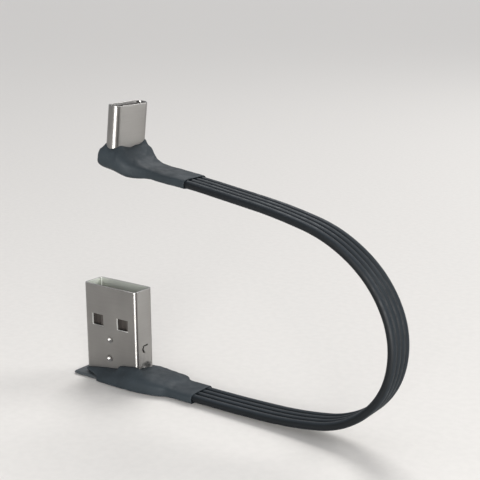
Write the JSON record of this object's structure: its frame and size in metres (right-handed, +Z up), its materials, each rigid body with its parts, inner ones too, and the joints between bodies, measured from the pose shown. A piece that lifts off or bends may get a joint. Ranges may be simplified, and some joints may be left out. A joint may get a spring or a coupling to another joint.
{
  "type": "charging cable",
  "caption": "Short flat ribbon charging cable with a right-angle USB-A plug standing on its base plate and a right-angle USB-C plug held above it by the arched ribbon.",
  "frame": {"origin": "on the surface it stands on, under the middle of the two plugs and their covers", "axes": "+Z up along the USB-A plug; +X the way the ribbon leaves the USB-A plug; +Y across the ribbon, to the far side"},
  "size_m": [0.0632, 0.0096, 0.049],
  "materials": {
    "plug_steel": "satin stainless steel",
    "insulator_plastic": "black moulded plastic",
    "contact_gold": "gold plated",
    "spring_steel": "thin rolled spring steel",
    "board_green": "green solder mask",
    "solder_tin": "bright tin solder",
    "inner_mould_plastic": "milky inner mould",
    "base_plastic": "smooth dark grey plate",
    "cover_rubber": "matt charcoal rubber",
    "ribbon_rubber": "matt charcoal rubber insulation",
    "core_copper": "stranded copper, lightly tinned",
    "resistor_black": "chip resistor"
  },
  "bodies": {
    "cable": {"a_shell": "plug_steel", "a_insulator": "insulator_plastic", "a_contacts_power": "contact_gold", "a_contacts_data": "contact_gold", "a_circuit_board": "board_green", "a_solder_joints": "solder_tin", "a_inner_mould": "inner_mould_plastic", "a_base_plate": "base_plastic", "a_cover": "cover_rubber", "c_shell": "plug_steel", "c_housing": "insulator_plastic", "c_contacts_front": "contact_gold", "c_contacts_back": "contact_gold", "c_mid_plate": "spring_steel", "c_ground_spring_front": "spring_steel", "c_ground_spring_back": "spring_steel", "c_circuit_board": "board_green", "c_resistor": "resistor_black", "c_solder_joints": "solder_tin", "c_inner_mould": "inner_mould_plastic", "c_cover": "cover_rubber", "ribbon_jacket": "ribbon_rubber", "core_power": "core_copper", "core_data_minus": "core_copper", "core_data_plus": "core_copper", "core_ground": "core_copper"},
    "latch_near": {"c_latch_near": "spring_steel"},
    "latch_far": {"c_latch_far": "spring_steel"}
  },
  "joints": [
    {"name": "latch_near_flex", "type": "hinge", "parent": "cable", "child": "latch_near", "pos_m": [-0.00238, -0.00345, 0.04158], "axis": [0.9925, 0, -0.1219], "range_deg": [0, 2], "stiffness_Nm_per_rad": 0.25},
    {"name": "latch_far_flex", "type": "hinge", "parent": "cable", "child": "latch_far", "pos_m": [-0.00238, 0.00345, 0.04158], "axis": [-0.9925, 0, 0.1219], "range_deg": [0, 2], "stiffness_Nm_per_rad": 0.25}
  ]
}
